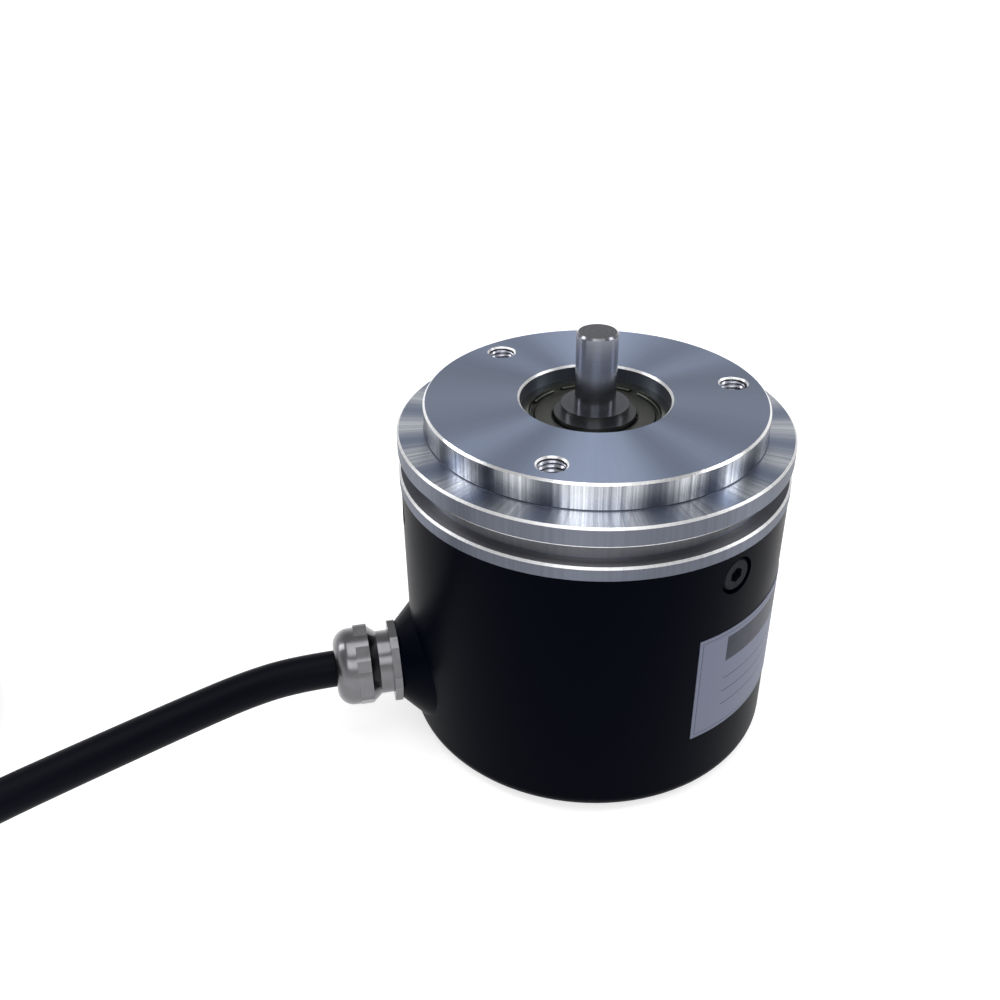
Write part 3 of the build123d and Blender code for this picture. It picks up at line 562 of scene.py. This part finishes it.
# Painted shade: the inner rings and the spacer, down in the bore, take a far darker steel than the outer
# rings
shaded_collar_steel = round_metal("shaded_collar_steel", (0.07, 0.075, 0.08, 1.0), (0.13, 0.135, 0.14, 1.0),
                           0.24, 2500.0, 0.002)
bearing_steel = round_metal("bearing_steel", (0.2, 0.21, 0.19, 1.0), (0.36, 0.37, 0.35, 1.0),
                            0.2, 2500.0, 0.002)
shield_steel = round_metal("shield_steel", (0.075, 0.08, 0.07, 1.0), (0.13, 0.135, 0.12, 1.0),
                           0.32, 1800.0, 0.003)
spring_steel = round_metal("spring_steel", (0.05, 0.055, 0.075, 1.0), (0.12, 0.125, 0.15, 1.0),
                           0.3, 1500.0, 0.003)
turned_brass = round_metal("turned_brass", (0.42, 0.3, 0.1, 1.0), (0.7, 0.54, 0.24, 1.0), 0.25, 2600.0, 0.003)
dress(ground_steel, "shaft")
dress(shaded_collar_steel, "inner_spacer", "front_bearing_inner_ring", "rear_bearing_inner_ring")
dress(bearing_steel, "front_bearing_outer_ring", "front_bearing_balls",
      "rear_bearing_outer_ring", "rear_bearing_balls")
dress(shield_steel, "front_bearing_shields", "rear_bearing_shields")
dress(spring_steel, "shaft_circlip", "preload_washer", "retaining_ring")
dress(turned_brass, "disc_hub", "disc_clamp_ring", "board_pillars", "front_bearing_cage", "rear_bearing_cage")
print("steels and brass dressed")

# %% [markdown]
# The gland is nickel-plated brass, so it mirrors the room, a little softened by the plating. The screws
# are blackened and dull. Plastics and rubber come from one function, because they differ only in colour,
# gloss and the size of their grain.

# %% Nickel, screws and plastics
nickel = Finish("nickel_plate", Metallic=1.0)
cast = nickel.noise(700.0, detail=3.0)
nickel.set(Base_Color=nickel.mix(cast, (0.15, 0.15, 0.16, 1.0), (0.20, 0.20, 0.21, 1.0)),
           Roughness=0.2 + cast * 0.08, Normal=nickel.bump(cast, 0.01 * mm))
dress(nickel, "gland_body", "gland_nut")
black_oxide = Finish("black_oxide", IOR=1.15)
bloom = black_oxide.noise(1500.0, detail=3.0)
black_oxide.set(Base_Color=black_oxide.mix(bloom, (0.001, 0.002, 0.005, 1.0), (0.006, 0.008, 0.012, 1.0)),
                Roughness=0.35 + bloom * 0.15, Normal=black_oxide.bump(bloom, 0.01 * mm))
dress(black_oxide, "housing_screws", "disc_screws", "hub_set_screws", "board_screws")


def moulded(name, dark, light, roughness, grain=1800.0, depth=0.01):
    """Moulded plastic or rubber: a fine spark-eroded grain in bump, and a little uneven colour."""
    finish = Finish(name)
    skin = finish.noise(grain, detail=3.0)
    patch = finish.noise(150.0)
    finish.set(Base_Color=finish.mix(patch, dark, light), Roughness=roughness + skin * 0.1,
               Normal=finish.bump(skin, depth * mm))
    return finish


rubber = moulded("seal_rubber", grey(0.008), grey(0.016), 0.6)
black_plastic = moulded("black_plastic", grey(0.012), grey(0.022), 0.4)
pale_plastic = moulded("pale_plastic", (0.6, 0.57, 0.48, 1.0), (0.7, 0.67, 0.58, 1.0), 0.4)
nylon = moulded("tie_nylon", grey(0.003), grey(0.006), 0.4, grain=1200.0)
clear_epoxy = moulded("clear_epoxy", (0.75, 0.76, 0.8, 1.0), (0.82, 0.83, 0.86, 1.0), 0.06, depth=0.002)
clear_epoxy.set(Transmission_Weight=0.9, IOR=1.5)
dress(rubber, "housing_seal", "gland_gasket", "gland_bush")
dress(black_plastic, "photodetector", "lamp_bracket", "driver_chips", "gland_washer")
dress(pale_plastic, "board_header", "wire_plug")
dress(clear_epoxy, "lamp")
dress(nylon, "coil_ties")
print("gland, screws and plastics dressed")

# %% [markdown]
# The circuit board is glass laminate under green solder mask, and copper tracks show as a lighter green
# through it. The code disc and reticle are etched sheet steel.

# %% Board and disc
board = Finish("solder_mask", IOR=1.5)
track = board.node("ShaderNodeTexBrick", {"offset": 0.35},
                   {"Vector": board.place, "Scale": 260.0, "Mortar Size": 0.06,
                    "Color1": grey(0.0), "Color2": grey(0.0), "Mortar": grey(1.0)})
weave = board.noise(2600.0)
board.set(Base_Color=board.mix(track, (0.004, 0.06, 0.025, 1.0), (0.015, 0.14, 0.05, 1.0)),
          Roughness=0.25 + weave * 0.12, Normal=board.bump(track, 0.03 * mm))
dress(board, "circuit_board")
etched = round_metal("etched_steel", (0.3, 0.3, 0.31, 1.0), (0.5, 0.5, 0.52, 1.0), 0.3, 1200.0, 0.002)
dress(etched, "code_disc", "reticle")
print("board and disc dressed")

# %% [markdown]
# Two nylon ties hold the coil. A tie is pulled tight, so its strap follows the bundle: round the outer
# cables and straight between them. For a direction n, the outermost cable is the one whose middle reaches
# furthest along n, and the strap lies one cable radius and a little more beyond it. Its head is a block
# with rounded corners, on the outside, and the cut tail stands out of it. The block is a superellipsoid:
# x = a C(v) C(u), y = b C(v) S(u), z = c S(v), where C and S are cosine and sine raised to a small power.

# %% Cable ties
tie_azimuths = (60.0, 160.0)
strap_width, strap_thickness, strap_gap = 3.6, 0.9, 0.03
inner_bevel, outer_bevel = 0.12, 0.25
head_half = (1.6, 2.7, 2.9)
head_height, head_power = 6.8, 0.3
tail_ring = np.array([(-0.45, -1.7), (0.45, -1.7), (0.45, 1.7), (-0.45, 1.7)])
tail_set_out, tail_start, tail_length = 0.2, 2.0, 3.6
table_gap = 0.02


def rounded_block(half, power, around=32, rows=17):
    """Points of a superellipsoid, ring by ring from its lowest point to its highest."""
    u = np.linspace(0.0, 2 * pi, around, endpoint=False)[None, :]
    v = np.linspace(-pi / 2, pi / 2, rows)[:, None]
    waves = (np.cos(u), np.sin(u), np.cos(v), np.sin(v))
    cos_u, sin_u, cos_v, sin_v = [np.sign(wave) * np.abs(wave) ** power for wave in waves]
    points = np.broadcast_arrays(half[0] * cos_v * cos_u, half[1] * cos_v * sin_u, half[2] * sin_v)
    return np.stack(points, axis=-1), grid_faces(rows, around, wrap_columns=True)


def tie_parts(azimuth):
    """Strap, head and tail of one tie, made with the coil's radius along x and then turned to the azimuth."""
    passes = np.mod(-90.0 - azimuth, 360.0) + 360.0 * np.arange(5)
    middles = coil_points(passes[passes <= coil_turn])
    middles = np.stack([np.hypot(*(middles[:, :2] - coil_centre).T), middles[:, 2]], 1)
    reach = cable_diameter / mm / 2 + strap_gap

    half = strap_width / 2
    section = np.array([(-half, inner_bevel), (-half + inner_bevel, 0.0),
                        (half - inner_bevel, 0.0), (half, inner_bevel),
                        (half, strap_thickness - outer_bevel), (half - outer_bevel, strap_thickness),
                        (-half + outer_bevel, strap_thickness), (-half, strap_thickness - outer_bevel)])
    turn = np.radians(np.arange(0.0, 360.0, 6.0))
    normal = np.stack([np.cos(turn), np.sin(turn)], 1)
    inner = middles[np.argmax(normal @ middles.T, axis=1)] + normal * reach
    outward = inner[:, None, :] + normal[:, None, :] * section[:, 1:]
    across = np.broadcast_to(section[:, 0], outward.shape[:2])
    strap = np.stack([outward[..., 0], across, np.maximum(outward[..., 1], table_gap)], axis=-1)

    head = np.array([middles[:, 0].max() + reach + head_half[0], 0.0, head_height])
    block, block_faces = rounded_block(head_half, head_power)

    spread = np.array([0.0, 1.0, 1.0, 0.0])[:, None]
    rise = np.array([0.0, 0.0, tail_length, tail_length])[:, None]
    tail = np.stack(np.broadcast_arrays(tail_set_out + tail_ring[:, 0] * spread, tail_ring[:, 1] * spread,
                                        tail_start + rise), axis=-1)
    parts = [(strap, grid_faces(len(turn), len(section), wrap_rows=True, wrap_columns=True)),
             (block + head, block_faces), (tail + head, grid_faces(4, 4, wrap_columns=True))]
    spin = radians(azimuth)
    rotation = np.array([[cos(spin), sin(spin), 0.0], [-sin(spin), cos(spin), 0.0], [0.0, 0.0, 1.0]])
    return [((points.reshape(-1, 3) @ rotation + centre) * mm, faces) for points, faces in parts]


tie_pieces = [part for azimuth in tie_azimuths for part in tie_parts(azimuth)]
ties = make_piece("nylon_ties", tie_pieces, nylon, "stator", ["coil_ties"], sharp=50.0)

# %% [markdown]
# The three mounting holes are tapped M4, and their threads catch the light as bright rings. A thread is one
# ridge with a triangular section that winds down a screw line, 0.7 mm for each turn. The CAD hole is its
# root, so only the ridge is made here, with its back just inside the metal and its ends drawn to a point.

# %% Threads in the mounting holes
thread_pitch = 0.7
thread_top = 53.45
hole_circle_radius = 21.0
thread_section = [(2.04, -0.33), (1.70, -0.05), (1.68, 0.0), (1.70, 0.05), (2.04, 0.33)]
turns = np.arange(0.0, 10.4, 1 / 40)
ridge, ridge_faces = spiral_bead(thread_section, 360.0 * turns, thread_top - thread_pitch * turns, taper=24)
threads = []
for azimuth in np.radians([0.0, 120.0, 240.0]):
    hole = np.array([cos(azimuth), sin(azimuth), 0.0]) * hole_circle_radius * mm
    threads.append((ridge + hole, ridge_faces))
cut_aluminium = round_metal("cut_aluminium", (0.3, 0.31, 0.36, 1.0), (0.55, 0.56, 0.62, 1.0),
                            0.2, 3000.0, 0.001)
make_piece("mount_threads", threads, cut_aluminium, "stator", sharp=30.0)

# %% [markdown]
# The bearing's shield is pressed from thin sheet: a flat ring with a rolled inner edge, a step near its
# outside, and a rim held in the outer ring's seat by a bright snap wire. The wire lies in three lengths
# with gaps between, where a pick can lift it. The shields on the hidden faces are made the same.

# %% Bearing shields
shield_outline = [(6.22, -0.20), (6.42, -0.12), (6.62, -0.10), (8.60, -0.10), (8.84, -0.32),
                  (9.68, -0.32), (9.68, -0.12), (8.98, -0.12), (8.74, 0.12), (8.30, 0.14),
                  (6.66, 0.14), (6.36, 0.06), (6.18, -0.06)]
wire_radius, wire_place = 0.2, (9.44, 0.1)
wire_angles = np.radians(np.arange(0, 360, 30))
wire_section = np.stack([np.cos(wire_angles), np.sin(wire_angles)], 1) * wire_radius + wire_place
wire_lengths = [(40.5, 109.0), (115.0, 146.5), (152.0, 394.5)]
wire_step = 1.5


def shield_parts(face_height, outward):
    """Shield and snap wire for one bearing face; outward is 1 for an upper face and -1 for a lower one."""
    parts = [lathe(shield_outline)]
    for first, last in wire_lengths:
        azimuths = np.arange(first, last, wire_step)
        parts.append(spiral_bead(wire_section, azimuths, np.zeros(len(azimuths)), taper=1.5))
    flip = np.array([1.0, 1.0, outward])
    lift = np.array([0.0, 0.0, face_height * mm])
    return [(points * flip + lift, faces) for points, faces in parts]


bearing_faces = {"front": ((51.08, 1), (45.32, -1)), "rear": ((37.08, 1), (31.32, -1))}
for end, faces in bearing_faces.items():
    parts = [part for height, outward in faces for part in shield_parts(height, outward)]
    make_piece(end + "_shield_pressings", parts, shield_steel, "stator",
               [end + "_bearing_shields"])

# %% [markdown]
# The rating label is thin silver foil that follows the cup's wall. It is one closed skin: its front and back
# share their edge points, and over the last line at each side the front comes down to the back. A plain
# frame, a plain dark band and empty ruled lines are sums and products of steps on the foil's own two axes.

# %% Label
label_first, label_last = -73.0, -6.0
label_bottom, label_top = 11.2, 29.2
foil_front, foil_back = 28.985, 28.88
label_azimuths = np.r_[label_first, np.linspace(label_first + 0.05, label_last - 0.05, 68), label_last]
label_heights = np.r_[label_bottom, np.linspace(label_bottom + 0.02, label_top - 0.02, 12), label_top]
front = np.full((len(label_azimuths), len(label_heights)), foil_front)
front[[0, -1], :] = foil_back
front[:, [0, -1]] = foil_back
back = np.full_like(front, foil_back)
radii = np.hstack([front, back[:, ::-1]]) * mm
heights = np.broadcast_to(np.concatenate([label_heights, label_heights[::-1]]), radii.shape) * mm
angle = np.radians(label_azimuths)[:, None]
label_points = np.stack([np.cos(angle) * radii, np.sin(angle) * radii, heights], axis=-1)

# The print, in millimetres along the foil from its first edge and up from the base
wall_radius, first_edge, foil_length = 28.98, 36.93, 33.9
print_left, print_right = 5.2, 30.5
foil = Finish("label_foil", Metallic=0.35, IOR=1.2)
x, y, z = foil.axes()
along = foil.maths("ARCTAN2", y, x) * wall_radius + first_edge
up = z * 1000.0
grain = foil.noise(2500.0, at=z, detail=2.0, dimensions="1D")
printed = (along > print_left) * (along < print_right)
band = printed * (up > 23.6) * (up < 27.9)
ruled = foil.maths("PINGPONG", up - 12.9, 1.25)
rules = (ruled < 0.07) * printed * (up > 13.5) * (up < 22.6)
edge_gap = along.least(foil_length - along).least((up - label_bottom).least(label_top - up))
frame_line = (edge_gap > 0.55) * (edge_gap < 0.68)
ink = (band + rules + frame_line * 0.7).least(1.0)
fade = foil.noise(700.0, detail=3.0)
silver = foil.mix(grain, (0.155, 0.17, 0.235, 1.0), (0.185, 0.20, 0.27, 1.0))
foil.set(Base_Color=foil.mix(ink * (0.8 + fade * 0.2), silver, (0.02, 0.022, 0.035, 1.0)),
         Roughness=0.42 + grain * 0.1 - ink * 0.06, Normal=foil.bump(grain, 0.003 * mm))
label_faces = grid_faces(len(label_azimuths), 2 * len(label_heights), wrap_columns=True)
make_piece("label", [(label_points, label_faces)], foil, "stator", sharp=60.0)

# %% [markdown]
# The table is a plain sheet. Lit evenly it would render under white, so a glow is added where the
# camera or a mirror sees it. The glow isn't light on the object, and the object's soft shadow stays. The
# room is white near the horizon and grey above, which leaves the metal something darker to mirror.

# %% Floor and world
floor_height = min(0.0, cad_box[0][2]) - 0.02 * mm
sheet = bpy.data.meshes.new("table")
reach = 6.0
corners = [(-reach, -reach), (reach, -reach), (reach, reach), (-reach, reach)]
sheet.from_pydata([(*corner, floor_height) for corner in corners], [], [(0, 1, 2, 3)])
table = bpy.data.objects.new("table", sheet)
bpy.context.scene.collection.objects.link(table)
white_table = Finish("white_table", Base_Color=(0.62, 0.62, 0.62, 1.0), Roughness=0.9)
rays = white_table.node("ShaderNodeLightPath").socket.node.outputs
camera_ray, glossy_ray, transmission_ray = [
    Signal(white_table, rays[kind]) for kind in ("Is Camera Ray", "Is Glossy Ray", "Is Transmission Ray")]
seen = camera_ray + glossy_ray + transmission_ray
glow = (seen > 0.5) * 0.62
glow_colour = white_table.node("ShaderNodeCombineColor", values=[glow, glow, glow])
white_table.set(Emission_Color=glow_colour, Emission_Strength=1.0)
sheet.materials.append(white_table.material)
world = bpy.data.worlds.new("room")
world.use_nodes = True
bpy.context.scene.world = world
nodes, links = world.node_tree.nodes, world.node_tree.links
room = nodes["Background"]
heading = nodes.new("ShaderNodeTexCoord")
climb = nodes.new("ShaderNodeSeparateXYZ")
sky = nodes.new("ShaderNodeValToRGB")
low, high = sky.color_ramp.elements
low.position, low.color = 0.15, grey(1.0)
high.position, high.color = 0.5, (0.42, 0.42, 0.425, 1.0)
links.new(heading.outputs["Generated"], climb.inputs[0])
links.new(climb.outputs["Z"], sky.inputs[0])
links.new(sky.outputs[0], room.inputs["Color"])
room.inputs["Strength"].default_value = 1.0
print("table at", floor_height)

# %% [markdown]
# Four soft lamps do the work of a small studio. One hangs straight above. One stands over the camera, and
# the turned face spreads it into a fan. Two narrow ones at the sides draw the bright upright lines near the
# shaft's and the rims' outlines.

# %% Lamps
def soft_lamp(name, place, aim, width, height, power):
    """A rectangular lamp at a place, facing a point, both in metres."""
    lamp = bpy.data.lights.new(name, "AREA")
    lamp.shape, lamp.size, lamp.size_y, lamp.energy = "RECTANGLE", width, height, power
    carrier = bpy.data.objects.new(name, lamp)
    bpy.context.scene.collection.objects.link(carrier)
    back = np.array(place, float) - np.array(aim, float)
    back /= np.linalg.norm(back)
    side = np.cross((0.0, 0.0, 1.0), back) if abs(back[2]) < 0.99 else np.array([1.0, 0.0, 0.0])
    side /= np.linalg.norm(side)
    pose = np.eye(4)
    pose[:3, 0], pose[:3, 1], pose[:3, 2], pose[:3, 3] = side, np.cross(back, side), back, place
    carrier.matrix_world = Matrix(pose.tolist())


target = (0.0, 0.0, 0.04)
camera_azimuth = -105.6


def around_camera(degrees, height, distance=0.8):
    """A place at a level angle from the camera's own direction, seen from the encoder's axis."""
    azimuth = radians(camera_azimuth + degrees)
    return (distance * cos(azimuth), distance * sin(azimuth), height)


soft_lamp("overhead", (0.0, 0.0, 1.1), target, 0.8, 0.8, 4.4)
soft_lamp("front", around_camera(0, 0.75), target, 0.7, 0.5, 2.7)
soft_lamp("left", around_camera(-102, 0.6), target, 0.22, 0.6, 2.0)
soft_lamp("right", around_camera(98, 0.6), target, 0.22, 0.6, 1.6)
print("lamps set")
